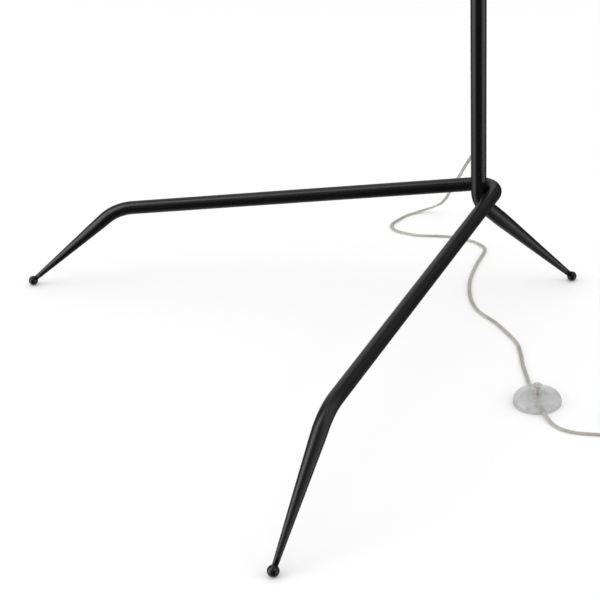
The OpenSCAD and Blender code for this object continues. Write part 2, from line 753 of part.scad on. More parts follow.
module switch_cover() color([0.84, 0.84, 0.88, 0.40]) at_switch() difference() {
    union() {
        switch_shell(0);
        cylinder(r = button_r + 1.6, h = dish_z + 1);
    }
    translate([0, 0, -switch_r]) cylinder(r = 2 * switch_r, h = switch_r + base_h + run_fit);
    difference() {
        switch_shell(cover_wall);
        at_screws() cylinder(r = 2.6, h = 20);
    }
    at_screws() cylinder(r = 1.2, h = 6);
    cylinder(r = button_r + 0.1, h = switch_h + 4);
    // openings for the lead at both ends
    for (a = [0, 180]) rotate([0, 0, a]) translate([switch_r - 4, 0, 0]) {
        translate([0, 0, cord_in_z]) rotate([0, 90, 0]) cylinder(r = 3.5, h = 8);
        translate([0, -3.5, 0]) cube([8, 7, cord_in_z]);
    }
}

module switch_button() color([0.90, 0.86, 0.86, 0.55]) at_switch() difference() {
    union() {
        translate([0, 0, button_z]) cylinder(r = button_r + 1.6, h = 1);
        translate([0, 0, button_z + 0.5]) cylinder(r = button_r, h = button_top - button_z - 1.5);
        translate([0, 0, button_top - 1]) cylinder(r1 = button_r, r2 = button_r - 1, h = 1);
    }
    translate([0, 0, press_z]) cylinder(r = 4, h = button_top - button_cap - press_z);
}

// Metal rod inside the button, with the disc that the spring pushes on
module switch_plunger() color([0.72, 0.55, 0.45]) at_switch() {
    translate([0, 0, button_z]) cylinder(r = plunger_r, h = button_top - button_cap - 1 - button_z);
    translate([0, 0, button_top - button_cap - 3.1]) cylinder(r = 3.8, h = 3);
}

module switch_spring() color([0.70, 0.70, 0.72]) at_switch() {
    steps = 14;
    from = press_z + spring_wire;
    pitch = (button_top - button_cap - 3.2 - press_z - 2 * spring_wire) / spring_turns;
    swept([for (i = [0:spring_turns * steps]) let (a = 360 * i / steps)
        [spring_r * cos(a), spring_r * sin(a), from + pitch * i / steps]], spring_wire, spring_wire, 6);
}

module switch_body() color([0.92, 0.92, 0.92]) at_switch() difference() {
    translate([-13, -8, base_h + run_fit]) cube([26, 16, press_z - base_h - 2 * run_fit]);
    at_terminals(base_h - 1) cylinder(r = 1.3, h = 4);
}

module at_terminals(z) for (x = [-terminal_x, terminal_x], y = [-terminal_y, terminal_y])
    translate([x, y, z]) children();

module switch_contacts() color([0.80, 0.66, 0.36]) at_switch()
    for (a = [0, 180], y = [0.6, -4.2]) rotate([0, 0, a]) translate([4.6, y, press_z])
        cube([6.6, 3.6, plate_t]);

module switch_terminals() color([0.72, 0.72, 0.70]) at_switch() at_terminals(press_z + plate_t + run_fit)
    difference() {
        cylinder(r = 1.4, h = 1.3);
        translate([-2, -0.25, 0.8]) cube([4, 0.5, 1]);
    }

module switch_leads() color([0.62, 0.45, 0.32]) at_switch()
    for (a = [0, 180], y = [-1.8, 1.8]) rotate([0, 0, a])
        translate([terminal_x + 1.5, y, press_z + plate_t + lead_r + run_fit]) rotate([0, 90, 0])
        cylinder(r = lead_r, h = cord_in_x - terminal_x - 1.6);

// Bridges that hold the lead down at both ends
module switch_clamps() color([0.92, 0.92, 0.92]) at_switch()
    for (a = [0, 180]) rotate([0, 0, a]) translate([16, -6, base_h + run_fit]) difference() {
        cube([4, 12, 6]);
        translate([-1, 2.4, -1]) cube([6, 7.2, 5.3]);
    }

module switch_screws() color([0.66, 0.66, 0.68]) at_switch() at_screws() {
    translate([0, 0, 0.3]) difference() {
        cylinder(r = 2.8, h = 1.5);
        translate([-2, -0.4, -1]) cube([4, 0.8, 1.6]);
        translate([-0.4, -2, -1]) cube([0.8, 4, 1.6]);
    }
    translate([0, 0, 1.7]) cylinder(r = 1.1, h = 4);
}

// ---- mains lead and plug ----

module cord_upper() color([0.80, 0.79, 0.74]) flat_lead(upper_route, 1);

module cord_lower() color([0.80, 0.79, 0.74]) flat_lead(lower_route, 1);

module cord_coil() color([0.80, 0.79, 0.74]) translate([coil_x, coil_y, 0]) rotate_extrude() {
    round = 3;
    translate([coil_mid_r - coil_half_w, round]) square([2 * coil_half_w, coil_h - 2 * round]);
    translate([coil_mid_r - coil_half_w + round, 0]) square([2 * (coil_half_w - round), coil_h]);
    for (x = [-1, 1], z = [round, coil_h - round])
        translate([coil_mid_r + x * (coil_half_w - round), z]) circle(round);
}

module cord_tail() color([0.80, 0.79, 0.74]) flat_lead(tail_route, 2);

module at_plug() translate([coil_x + coil_mid_r, plug_y, plug_h / 2]) children();

module plug_body() color([0.88, 0.88, 0.90, 0.6]) at_plug() difference() {
    union() {
        hull() for (x = [-1, 1], y = [0, plug_len - 8]) translate([x * (plug_w - plug_h) / 2, y, 0])
            rotate([-90, 0, 0])
            cylinder(r1 = plug_h / 2 - (y == 0 ? 1 : 0), r2 = plug_h / 2, h = 8, $fn = 32);
        translate([0, 1, 0]) rotate([90, 0, 0]) cylinder(r1 = 6, r2 = lead_bore_r + 0.9, h = 20);
    }
    translate([0, -19.1, 0]) rotate([90, 0, 0]) cylinder(r = lead_bore_r, h = 12, center = true);
    for (x = [-1, 1]) translate([x * prong_gap / 2, plug_len - prong_root, 0]) rotate([-90, 0, 0])
        cylinder(r = root_r + run_fit, h = prong_root + 2);
}

module plug_pins() color([0.80, 0.80, 0.78]) at_plug() for (x = [-1, 1])
    translate([x * prong_gap / 2, plug_len + 0.1, 0]) rotate([-90, 0, 0]) {
        translate([0, 0, -prong_root]) cylinder(r = root_r, h = prong_root + 1);
        cylinder(r = prong_r, h = prong_len - 1);
        translate([0, 0, prong_len - 1]) cylinder(r1 = prong_r, r2 = prong_r - 1, h = 1);
    }

pole_lower();
leg_pair();
hub_welds();
foot_left();
foot_right();
foot_rear();
pole_coupler_lower();
pole_middle();
pole_coupler_upper();
pole_upper();
cord_grommet();
wire_pole();
arm_bush();
arm_socket();
socket_grub_screw();
arm_lock_screw();
arm_tube();
wire_arm();
arm_ferrule();
swivel_ring();
swivel_washer();
knuckle_fork();
knuckle_pin();
knuckle_washer();
knuckle_wing_nut();
shade_neck();
shade_shell();
shade_nipple();
shade_nuts();
holder_body();
holder_core();
holder_sleeve();
holder_contact();
bulb_cap();
bulb_glass();
bulb_stem();
bulb_filaments();
switch_base();
switch_cover();
switch_button();
switch_plunger();
switch_spring();
switch_body();
switch_contacts();
switch_terminals();
switch_leads();
switch_clamps();
switch_screws();
cord_upper();
cord_lower();
cord_coil();
cord_tail();
plug_body();
plug_pins();
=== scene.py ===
import json
from math import atan, cos, pi, radians, sin, tan

import bpy
from mathutils import Matrix, Vector


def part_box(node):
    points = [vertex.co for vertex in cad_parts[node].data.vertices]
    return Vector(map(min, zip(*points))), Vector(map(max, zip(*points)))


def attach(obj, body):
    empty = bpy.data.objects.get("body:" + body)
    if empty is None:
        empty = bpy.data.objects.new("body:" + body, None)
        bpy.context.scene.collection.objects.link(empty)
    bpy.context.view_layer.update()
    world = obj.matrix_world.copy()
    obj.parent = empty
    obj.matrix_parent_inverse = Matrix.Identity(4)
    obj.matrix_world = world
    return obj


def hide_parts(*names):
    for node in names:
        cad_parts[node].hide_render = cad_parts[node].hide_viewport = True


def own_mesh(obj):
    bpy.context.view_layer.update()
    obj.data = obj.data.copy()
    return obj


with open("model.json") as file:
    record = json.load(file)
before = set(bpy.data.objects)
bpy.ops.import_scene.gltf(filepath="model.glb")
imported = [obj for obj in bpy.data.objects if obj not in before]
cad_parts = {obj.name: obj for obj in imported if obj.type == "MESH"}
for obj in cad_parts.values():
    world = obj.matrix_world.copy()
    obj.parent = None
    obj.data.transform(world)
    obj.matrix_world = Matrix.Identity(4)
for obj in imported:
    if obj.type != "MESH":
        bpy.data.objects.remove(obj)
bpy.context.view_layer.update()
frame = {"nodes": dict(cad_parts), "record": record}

MM = 0.001

# ---- the lamp's driving sizes, as the CAD model has them, in metres and radians ----
POLE_Y = 0.189927
POLE_R = 0.011
JOINT_LOW_Z = 0.640
REAR_KNEE_Z = 0.170
REAR_REACH = 0.1655
REAR_BEND_R = 0.040
REAR_SHANK = 0.038
REAR_TIP_R = 0.004
LEG_R = 0.010
LEG_SPREAD = radians(36.6)
LEG_REACH = 0.5815
LEG_DROP = 0.0565
FOOT_REACH = 0.1495
HUB_Z = 0.190
VERTEX_Y = POLE_Y + 0.041505
LOOP_R = 0.030
KNEE_R = 0.082
LEG_SHANK = 0.005
TIP_R = 0.0035
TIP_STOP = 0.005
BALL_R = 0.0072
ARM_R = 0.007
ARM_FOOT_Z = 1.382
ARM_STEM_TOP_Z = 1.460
ARM_RISE = radians(12)
ARM_RUN = 0.280
ARM_BEND_R = 0.070
ARM_TIP_R = 0.050
FERRULE_DEPTH = 0.012

# the flat twin lead, and the coil that its spare length is wound in
LEAD_W = 0.006
LEAD_T = 0.0032
LEAD_STEPS = 6
STRAND_LAY = 0.004
COIL_CENTRE = Vector((0.388, 0.194, 0))
COIL_MID_R = 0.034
COIL_COLUMN = 0.0034
COIL_LAYER = 0.0036
COIL_FIRST = radians(-40)
COIL_LAST = radians(16)
TURN_STEPS = 40

# the lead's routes, in millimetres: pole to foot switch, foot switch to coil, coil to plug
UPPER_ROUTE = [
    (-9, 193, 226), (-29, 200.5, 226), (-40, 204.5, 223), (-53, 210, 214.5), (-74, 218, 199),
    (-101, 227, 176.5), (-156, 248.5, 133.5), (-211.5, 270, 91), (-235.5, 277, 69), (-263, 285.5, 49.5),
    (-284.5, 295.5, 37.5), (-313.5, 312.5, 22.5), (-332.5, 308.5, 10.5), (-343.5, 291.5, 3.5),
    (-345.5, 277.5, 1.6), (-344, 265.5, 1.6), (-337, 247, 1.6), (-327.5, 229.5, 1.6), (-313.5, 221, 1.6),
    (-297, 222, 1.6), (-275, 234, 1.6), (-263, 243.5, 1.6), (-245.5, 267, 1.6), (-228.5, 284.5, 1.6),
    (-198.5, 302.5, 1.6), (-176, 306.5, 1.6), (-160.5, 302.5, 1.6), (-147, 290.5, 1.6), (-117, 258, 1.6),
    (-75.5, 221.5, 1.6), (-30.5, 194.5, 1.6), (12, 181, 1.6), (61.5, 182, 1.6), (121.5, 174.5, 1.6),
    (152, 162, 1.6), (182, 146, 1.6), (209.5, 133.5, 1.6), (227, 125, 2.8), (242.5, 118.8, 5.2),
    (260.3, 112.3, 5.4)
]
LOWER_ROUTE = [
    (286.7, 102.7, 5.4), (304.5, 96.2, 5.2), (319, 93.5, 2.8), (334, 92.5, 1.6), (349, 96, 1.6),
    (365, 107.5, 1.6), (381, 126.5, 1.6), (396, 144.5, 1.6), (406.5, 157.4, 1.6),
]
TAIL_ROUTE = [(422, 217, 8.3), (422, 228, 7.4), (422, 240, 6.85), (422, 248.5, 6.85)]

# ---- the studio ----
CAMERA_PLACE = (1.7548, -0.9170, 1.0660)
CAMERA_AZIMUTH = radians(155.035)
CAMERA_PITCH = radians(26.75)
CAMERA_ROLL = radians(3.34)
CAMERA_LENS = 94.2

# the floor's half width, the distances over which it pales, and its tone near and far
FLOOR_HALF = 30
FLOOR_FADE = (2, 6)
FLOOR_TONES = (0.91, 0.985)

# the world's strength for the camera and matt surfaces, and for reflections
WORLD_LIGHT = 0.99
PANEL_LIGHT = 1.9
# the ceiling's glow in reflections, from straight down at 0 to straight up at 1
CEILING = ((0.0, 0.04), (0.45, 0.01), (0.62, 0.01), (0.8, 0.12), (0.88, 0.06), (1.0, 0.2))
# a panel's dark edge and fully lit middle, as cosines of the angle from its azimuth
PANEL_EDGE = 0.82
PANEL_MIDDLE = 0.965
# the heights where a panel's low part ends, its full strength starts and ends, and its upper part starts
PANEL_HEIGHTS = (0.29, 0.34, 0.37, 0.44)
# each panel's azimuth in degrees, its strength, and the shares of it left in its low and upper parts
PANELS = ((-106, 0.9, 0.5, 1.5), (46, 0.9, 0.3, 0.4), (165, 0.25, 1.0, 1.0), (95, 0.03, 1.0, 1.0))
LIGHT_TARGET = (0, 0, 0.3)


# ---- camera, floor and light ----

def make_camera():
    data = bpy.data.cameras.new("camera")
    data.lens = CAMERA_LENS
    data.sensor_width = 36
    cam = bpy.data.objects.new("camera", data)
    bpy.context.scene.collection.objects.link(cam)
    level_ahead = Vector((cos(CAMERA_AZIMUTH), sin(CAMERA_AZIMUTH), 0))
    ahead = level_ahead * cos(CAMERA_PITCH) - Vector((0, 0, sin(CAMERA_PITCH)))
    level = Vector((sin(CAMERA_AZIMUTH), -cos(CAMERA_AZIMUTH), 0))
    down = ahead.cross(level)
    right = cos(CAMERA_ROLL) * level + sin(CAMERA_ROLL) * down
    lower = cos(CAMERA_ROLL) * down - sin(CAMERA_ROLL) * level
    turn = Matrix((right, -lower, -ahead)).transposed()
    cam.matrix_world = Matrix.Translation(CAMERA_PLACE) @ turn.to_4x4()
    bpy.context.scene.camera = cam


def make_floor():
    """A matt pale floor, a little paler far off so that it meets the world without an edge."""
    mesh = bpy.data.meshes.new("floor")
    corners = [(x * FLOOR_HALF, y * FLOOR_HALF, 0) for x, y in ((-1, -1), (1, -1), (1, 1), (-1, 1))]
    mesh.from_pydata(corners, [], [(0, 1, 2, 3)])
    floor = bpy.data.objects.new("floor", mesh)
    bpy.context.scene.collection.objects.link(floor)
    near, far = FLOOR_TONES
    mat, tree, shader = new_material("floor_pale", grey(near), 0.9)
    shader.inputs["Specular IOR Level"].default_value = 0.0
    distance = tree.nodes.new("ShaderNodeVectorMath")
    distance.operation = "LENGTH"
    tree.links.new(place_of(tree), distance.inputs[0])
    tone = ramp(tree, distance.outputs["Value"], [(0.0, grey(near)), (1.0, grey(far))],
                low=FLOOR_FADE[0], high=FLOOR_FADE[1])
    tree.links.new(tone, shader.inputs["Base Color"])
    mesh.materials.append(mat)
    floor.visible_glossy = False


def softbox(name, place, width, height, power):
    """A soft light that matt surfaces see and reflections don't."""
    data = bpy.data.lights.new(name, "AREA")
    data.shape = "RECTANGLE"
    data.size = width
    data.size_y = height
    data.energy = power
    lamp = bpy.data.objects.new(name, data)
    bpy.context.scene.collection.objects.link(lamp)
    lamp.location = place
    lamp.rotation_euler = (Vector(LIGHT_TARGET) - Vector(place)).to_track_quat("-Z", "Y").to_euler()
    lamp.visible_glossy = False


def make_world():
    """White all round for the camera and matt surfaces; tall soft panels and a ceiling for reflections."""
    world = bpy.data.worlds.new("studio")
    bpy.context.scene.world = world
    world.use_nodes = True
    tree = world.node_tree
    tree.nodes.clear()
    out = tree.nodes.new("ShaderNodeOutputWorld")
    plain = tree.nodes.new("ShaderNodeBackground")
    plain.inputs["Color"].default_value = (1, 1, 1, 1)
    plain.inputs["Strength"].default_value = WORLD_LIGHT
    mirrored = tree.nodes.new("ShaderNodeBackground")
    coords = tree.nodes.new("ShaderNodeTexCoord")
    split = tree.nodes.new("ShaderNodeSeparateXYZ")
    tree.links.new(coords.outputs["Generated"], split.inputs[0])
    total = ramp(tree, split.outputs["Z"], [(at, grey(glow)) for at, glow in CEILING], low=-1, high=1)
    for azimuth, strength, below, above in PANELS:
        facing = tree.nodes.new("ShaderNodeVectorMath")
        facing.operation = "DOT_PRODUCT"
        tree.links.new(flattened(tree, coords.outputs["Generated"]), facing.inputs[0])
        facing.inputs[1].default_value = (cos(radians(azimuth)), sin(radians(azimuth)), 0)
        glow = ramp(tree, facing.outputs["Value"], [(PANEL_EDGE, grey(0)), (PANEL_MIDDLE, grey(strength))])
        shares = [grey(below), grey(1), grey(1), grey(above)]
        band = ramp(tree, split.outputs["Z"], list(zip(PANEL_HEIGHTS, shares)), low=-1, high=1)
        glow = mixed_colour(tree, 1.0, glow, band, "MULTIPLY")
        total = mixed_colour(tree, 1.0, total, glow, "ADD")
    tree.links.new(total, mirrored.inputs["Color"])
    mirrored.inputs["Strength"].default_value = PANEL_LIGHT
    path = tree.nodes.new("ShaderNodeLightPath")
    mix = tree.nodes.new("ShaderNodeMixShader")
    tree.links.new(path.outputs["Is Glossy Ray"], mix.inputs[0])
    tree.links.new(plain.outputs[0], mix.inputs[1])
    tree.links.new(mirrored.outputs[0], mix.inputs[2])
    tree.links.new(mix.outputs[0], out.inputs["Surface"])


def flattened(tree, vector):
    """The direction's horizontal part, at unit length."""
    level = tree.nodes.new("ShaderNodeVectorMath")
    level.operation = "MULTIPLY"
    level.inputs[1].default_value = (1, 1, 0)
    tree.links.new(vector, level.inputs[0])
    unit = tree.nodes.new("ShaderNodeVectorMath")
    unit.operation = "NORMALIZE"
    tree.links.new(level.outputs[0], unit.inputs[0])
    return unit.outputs[0]


# ---- node helpers ----

def new_material(name, colour, roughness):
    mat = bpy.data.materials.new(name)
    mat.use_nodes = True
    tree = mat.node_tree
    shader = tree.nodes["Principled BSDF"]
    shader.inputs["Base Color"].default_value = (*colour, 1)
    shader.inputs["Roughness"].default_value = roughness
    return mat, tree, shader


def coordinates(tree):
    """The material's one coordinate node."""
    found = [n for n in tree.nodes if n.type == "TEX_COORD"]
    return found[0] if found else tree.nodes.new("ShaderNodeTexCoord")


def place_of(tree):
    """The point's place on the lamp, in metres."""
    return coordinates(tree).outputs["Object"]


def noise(tree, scale, detail=2.0, rough=0.5, vector=None):
    node = tree.nodes.new("ShaderNodeTexNoise")
    node.inputs["Scale"].default_value = scale
    node.inputs["Detail"].default_value = detail
    node.inputs["Roughness"].default_value = rough
    tree.links.new(vector or place_of(tree), node.inputs["Vector"])
    return node.outputs["Fac"]


def ramp(tree, value, stops, low=0.0, high=1.0):
    """Colours at given shares of the way from low to high."""
    if (low, high) != (0.0, 1.0):
        fit = tree.nodes.new("ShaderNodeMapRange")
        fit.inputs["From Min"].default_value = low
        fit.inputs["From Max"].default_value = high
        tree.links.new(value, fit.inputs["Value"])
        value = fit.outputs["Result"]
    node = tree.nodes.new("ShaderNodeValToRGB")
    bar = node.color_ramp
    while len(bar.elements) < len(stops):
        bar.elements.new(0.5)
    for element, (at, colour) in zip(bar.elements, stops):
        element.position = at
        element.color = (*colour, 1)
    tree.links.new(value, node.inputs["Fac"])
    return node.outputs["Color"]


def grey(value):
    return (value, value, value)


def mixed_colour(tree, share, first, second, mode="MIX"):
    node = tree.nodes.new("ShaderNodeMix")
    node.data_type = "RGBA"
    node.blend_type = mode
    for name, value in (("Factor", share), ("A", first), ("B", second)):
        socket = node.inputs[name]
        if isinstance(value, bpy.types.NodeSocket):
            tree.links.new(value, socket)
        else:
            socket.default_value = (*value, 1) if isinstance(value, tuple) else value
    return node.outputs["Result"]


def bump(tree, height, strength, distance, shader, after=None):
    """Bump from a height onto the shader, on top of an earlier bump if there is one."""
    node = tree.nodes.new("ShaderNodeBump")
    node.inputs["Strength"].default_value = strength
    node.inputs["Distance"].default_value = distance
    tree.links.new(height, node.inputs["Height"])
    if after is not None:
        tree.links.new(after, node.inputs["Normal"])
    tree.links.new(node.outputs["Normal"], shader.inputs["Normal"])
    return node.outputs["Normal"]


# ---- materials ----

def satin_paint(name, colour, rough_low, rough_high):
    """Black powder paint: a fine orange-peel skin, patchy gloss, a few pale dust specks."""
    mat, tree, shader = new_material(name, colour, rough_low)
    patches = noise(tree, 7, 4, 0.6)
    tone = mixed_colour(tree, ramp(tree, patches, [(0.35, grey(0)), (0.7, grey(1))]),
                        colour, tuple(c * 1.5 for c in colour))
    dust = ramp(tree, noise(tree, 620, 3, 0.7), [(0.73, grey(0)), (0.78, grey(0.5))])
    tree.links.new(mixed_colour(tree, dust, tone, (0.020, 0.019, 0.019)), shader.inputs["Base Color"])
    gloss = ramp(tree, noise(tree, 22, 5, 0.65), [(0.3, grey(rough_low)), (0.7, grey(rough_high))])
    tree.links.new(gloss, shader.inputs["Roughness"])
    skin = bump(tree, noise(tree, 700, 2, 0.5), 0.35, 0.0001, shader)
    bump(tree, noise(tree, 130, 1, 0.5), 0.15, 0.0002, shader, after=skin)
    return mat


def turned_metal(name, colour, roughness):
    """Metal with fine turning or drawing marks and small stains."""
    mat, tree, shader = new_material(name, colour, roughness)
    shader.inputs["Metallic"].default_value = 1.0
    stains = ramp(tree, noise(tree, 90, 5, 0.7), [(0.35, grey(0.75)), (0.65, grey(1))])
    tree.links.new(mixed_colour(tree, 1.0, colour, stains, "MULTIPLY"), shader.inputs["Base Color"])
    gloss = ramp(tree, noise(tree, 240, 3, 0.6), [(0.3, grey(roughness * 0.7)), (0.7, grey(roughness * 1.5))])
    tree.links.new(gloss, shader.inputs["Roughness"])
    stretch = tree.nodes.new("ShaderNodeMapping")
    stretch.inputs["Scale"].default_value = (0.08, 0.08, 1)
    tree.links.new(place_of(tree), stretch.inputs["Vector"])
    bump(tree, noise(tree, 1500, 2, 0.5, stretch.outputs["Vector"]), 0.3, 0.00003, shader)
    return mat


def moulded(name, colour, roughness, alpha=1.0, coat=0.0):
    """Moulded plastic: faint flow streaks, soft sink marks and fine scuffs."""
    mat, tree, shader = new_material(name, colour, roughness)
    flow = ramp(tree, noise(tree, 60, 4, 0.6), [(0.3, grey(0.88)), (0.7, grey(1))])
    tree.links.new(mixed_colour(tree, 1.0, colour, flow, "MULTIPLY"), shader.inputs["Base Color"])
    scuffs = ramp(tree, noise(tree, 800, 4, 0.7), [(0.4, grey(roughness)), (0.75, grey(roughness + 0.2))])
    tree.links.new(scuffs, shader.inputs["Roughness"])
    bump(tree, noise(tree, 400, 2, 0.5), 0.15, 0.00005, shader)
    shader.inputs["Alpha"].default_value = alpha
    shader.inputs["Coat Weight"].default_value = coat
    return mat


def clear_glass(name, colour, roughness):
    """Blown glass: a faint unevenness and a slightly patchy gloss."""
    mat, tree, shader = new_material(name, colour, roughness)
    shader.inputs["Transmission Weight"].default_value = 1.0
    shader.inputs["IOR"].default_value = 1.45
    gloss = ramp(tree, noise(tree, 120, 3, 0.5), [(0.3, grey(roughness)), (0.8, grey(roughness + 0.04))])
    tree.links.new(gloss, shader.inputs["Roughness"])
    bump(tree, noise(tree, 35, 1, 0.5), 0.1, 0.0002, shader)
    return mat


def clear_plastic(name, colour, roughness, alpha=1.0, middle=None):
    """Clear moulded plastic: a faint cloudiness, light scuffs, and flow marks that spread from a given
    middle.
    """
    mat, tree, shader = new_material(name, colour, roughness)
    shader.inputs["Transmission Weight"].default_value = 0.75
    shader.inputs["IOR"].default_value = 1.30
    flow = ramp(tree, noise(tree, 70, 4, 0.6), [(0.3, grey(0.93)), (0.7, grey(1))])
    scuffs = ramp(tree, noise(tree, 600, 4, 0.7), [(0.4, grey(roughness)), (0.75, grey(roughness + 0.12))])
    tree.links.new(scuffs, shader.inputs["Roughness"])
    skin = bump(tree, noise(tree, 180, 2, 0.5), 0.25, 0.00012, shader)
    if middle is not None:
        from_middle = tree.nodes.new("ShaderNodeVectorMath")
        from_middle.operation = "SUBTRACT"
        from_middle.inputs[1].default_value = middle
        tree.links.new(place_of(tree), from_middle.inputs[0])
        rays = noise(tree, 5, 5, 0.75, flattened(tree, from_middle.outputs[0]))
        streaks = ramp(tree, rays, [(0.38, grey(0.94)), (0.60, grey(1))])
        flow = mixed_colour(tree, 1.0, flow, streaks, "MULTIPLY")
        bump(tree, rays, 0.6, 0.0006, shader, after=skin)
    tree.links.new(mixed_colour(tree, 1.0, colour, flow, "MULTIPLY"), shader.inputs["Base Color"])
    shader.inputs["Alpha"].default_value = alpha
    return mat


def lead_skin():
    """Clear soft sheath of the twin lead: pale and glossy, with rub marks, and long paler and darker
    stretches painted into its colour as highlights along the lead.
    """
    mat, tree, shader = new_material("lead_skin", (0.74, 0.72, 0.66), 0.2)
    # painted highlights: long paler and darker stretches in the sheath's colour stand in for light along the
    # lead
    painted_highlight_stretches = ramp(tree, noise(tree, 16, 4, 0.6), [(0.36, (0.56, 0.54, 0.48)), (0.66, (0.94, 0.92, 0.86))])
    tree.links.new(painted_highlight_stretches, shader.inputs["Base Color"])
    tree.links.new(ramp(tree, noise(tree, 700, 4, 0.7), [(0.4, grey(0.14)), (0.75, grey(0.34))]),
                   shader.inputs["Roughness"])
    bump(tree, noise(tree, 500, 2, 0.5), 0.12, 0.00005, shader)
    shader.inputs["Alpha"].default_value = 0.34
    shader.inputs["Coat Weight"].default_value = 0.5
    shader.inputs["Coat Roughness"].default_value = 0.08
    return mat


def lead_core():
    """Tinned copper strands, twisted: fine slanting lines across the core."""
    mat, tree, shader = new_material("lead_core", (0.50, 0.46, 0.40), 0.35)
    shader.inputs["Metallic"].default_value = 0.35
    uv = tree.nodes.new("ShaderNodeUVMap")
    uv.uv_map = "along"
    wave = tree.nodes.new("ShaderNodeTexWave")
    wave.bands_direction = "DIAGONAL"
    wave.inputs["Scale"].default_value = 1.6
    wave.inputs["Distortion"].default_value = 0.4
    tree.links.new(uv.outputs["UV"], wave.inputs["Vector"])
    tree.links.new(ramp(tree, wave.outputs["Fac"], [(0.2, (0.24, 0.22, 0.18)), (0.8, (0.58, 0.55, 0.48))]),
                   shader.inputs["Base Color"])
    bump(tree, wave.outputs["Fac"], 0.5, 0.00015, shader)
    return mat


def shade_paint():
    """Satin black outside and matt white inside, parted where the sheet's normal turns to the axis."""
    mat = satin_paint("shade_paint", (0.0052, 0.0048, 0.0054), 0.36, 0.46)
    tree = mat.node_tree
    shader = tree.nodes["Principled BSDF"]
    box_low, box_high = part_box("shade_shell")
    axis = (box_low + box_high) / 2
    middle = tree.nodes.new("ShaderNodeVectorMath")
    middle.operation = "SUBTRACT"
    middle.inputs[1].default_value = (axis.x, axis.y, box_low.z - 0.05)
    tree.links.new(place_of(tree), middle.inputs[0])
    facing = tree.nodes.new("ShaderNodeVectorMath")
    facing.operation = "DOT_PRODUCT"
    tree.links.new(middle.outputs[0], facing.inputs[0])
    tree.links.new(coordinates(tree).outputs["Normal"], facing.inputs[1])
    inside = tree.nodes.new("ShaderNodeMath")
    inside.operation = "LESS_THAN"
    inside.inputs[1].default_value = -0.01
    tree.links.new(facing.outputs["Value"], inside.inputs[0])
    black = shader.inputs["Base Color"].links[0].from_socket
    white = ramp(tree, noise(tree, 30, 3, 0.5), [(0.3, (0.80, 0.79, 0.76)), (0.7, (0.86, 0.85, 0.83))])
    tree.links.new(mixed_colour(tree, inside.outputs[0], black, white), shader.inputs["Base Color"])
    return mat


def make_materials():
    """One material for each slot that the CAD nodes and the new pieces use."""
    black = (0.0032, 0.0029, 0.0033)
    switch_middle = sum(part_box("switch_cover"), Vector()) / 2
    return {
        "black_metal": satin_paint("black_metal", black, 0.24, 0.32),
        "weld_black": satin_paint("weld_black", black, 0.42, 0.55),
        "ball_black": satin_paint("ball_black", (0.0045, 0.0042, 0.0046), 0.24, 0.34),
        "knob_black": satin_paint("knob_black", black, 0.30, 0.42),
        "shade_black": shade_paint(),
        "steel": turned_metal("steel", (0.60, 0.60, 0.61), 0.28),
        "brass_part": turned_metal("brass_part", (0.72, 0.56, 0.28), 0.24),
        "rose_metal": turned_metal("rose_metal", (0.50, 0.34, 0.29), 0.30),
        "copper": turned_metal("copper", (0.70, 0.42, 0.30), 0.30),
        "nickel": turned_metal("nickel", (0.74, 0.72, 0.68), 0.18),
        "cap_metal": turned_metal("cap_metal", (0.80, 0.79, 0.76), 0.26),
        "nylon": moulded("nylon", (0.80, 0.79, 0.75), 0.42),
        "grommet_clear": moulded("grommet_clear", (0.66, 0.64, 0.60), 0.25, 0.8, 0.4),
        "switch_clear": clear_plastic("switch_clear", (0.99, 0.985, 0.995), 0.11, 0.54, switch_middle),
        "switch_white": clear_plastic("switch_white", (0.97, 0.965, 0.975), 0.3, 0.6),
        "button_clear": clear_plastic("button_clear", (0.97, 0.95, 0.95), 0.08, 0.7),
        "plug_clear": clear_plastic("plug_clear", (0.92, 0.91, 0.93), 0.14),
        "holder_black": moulded("holder_black", (0.02, 0.02, 0.021), 0.35),
        "holder_white": moulded("holder_white", (0.82, 0.80, 0.75), 0.18, 1.0, 0.5),
        "filament": moulded("filament", (0.90, 0.62, 0.16), 0.5),
        "bulb_clear": clear_glass("bulb_clear", (0.98, 0.97, 0.94), 0.02),
        "stem_glass": clear_glass("stem_glass", (0.95, 0.96, 0.95), 0.05),
    }


# ---- mesh helpers ----

def new_piece(name, points, faces, materials, body, replaced):
    """A smooth mesh that rides on a body and stands for the CAD nodes it replaces."""
    mesh = bpy.data.meshes.new(name)
    mesh.from_pydata([tuple(p) for p in points], [], faces)
    mesh.validate()
    for mat in materials:
        mesh.materials.append(mat)
    for polygon in mesh.polygons:
        polygon.use_smooth = True
    piece = bpy.data.objects.new(name, mesh)
    bpy.context.scene.collection.objects.link(piece)
    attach(piece, body)
    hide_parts(*replaced)
    return piece


def filleted(corners, radii, step=radians(2.5), rungs=8):
    """Points along straight runs joined by round bends. Each corner but the first and last has a radius."""
    line = [corners[0]]
    for k in range(1, len(corners) - 1):
        before = (corners[k - 1] - corners[k]).normalized()
        after = (corners[k + 1] - corners[k]).normalized()
        turn = pi - before.angle(after)
        reach = radii[k - 1] * tan(turn / 2)
        start = corners[k] + before * reach
        centre = corners[k] + (before + after).normalized() * (radii[k - 1] / cos(turn / 2))
        axis = before.cross(after).normalized()
        steps = max(4, round(turn / step))
        arm = start - centre
        arc = [centre + Matrix.Rotation(-turn * i / steps, 3, axis) @ arm for i in range(steps + 1)]
        line += [line[-1].lerp(start, i / rungs) for i in range(1, rungs)] + arc
    last = corners[-1]
    return line + [line[-1].lerp(last, i / rungs) for i in range(1, rungs + 1)]


def lengths_along(line):
    """The distance along a line to each of its points."""
    total = [0.0]
    for a, b in zip(line, line[1:]):
        total.append(total[-1] + (b - a).length)
    return total


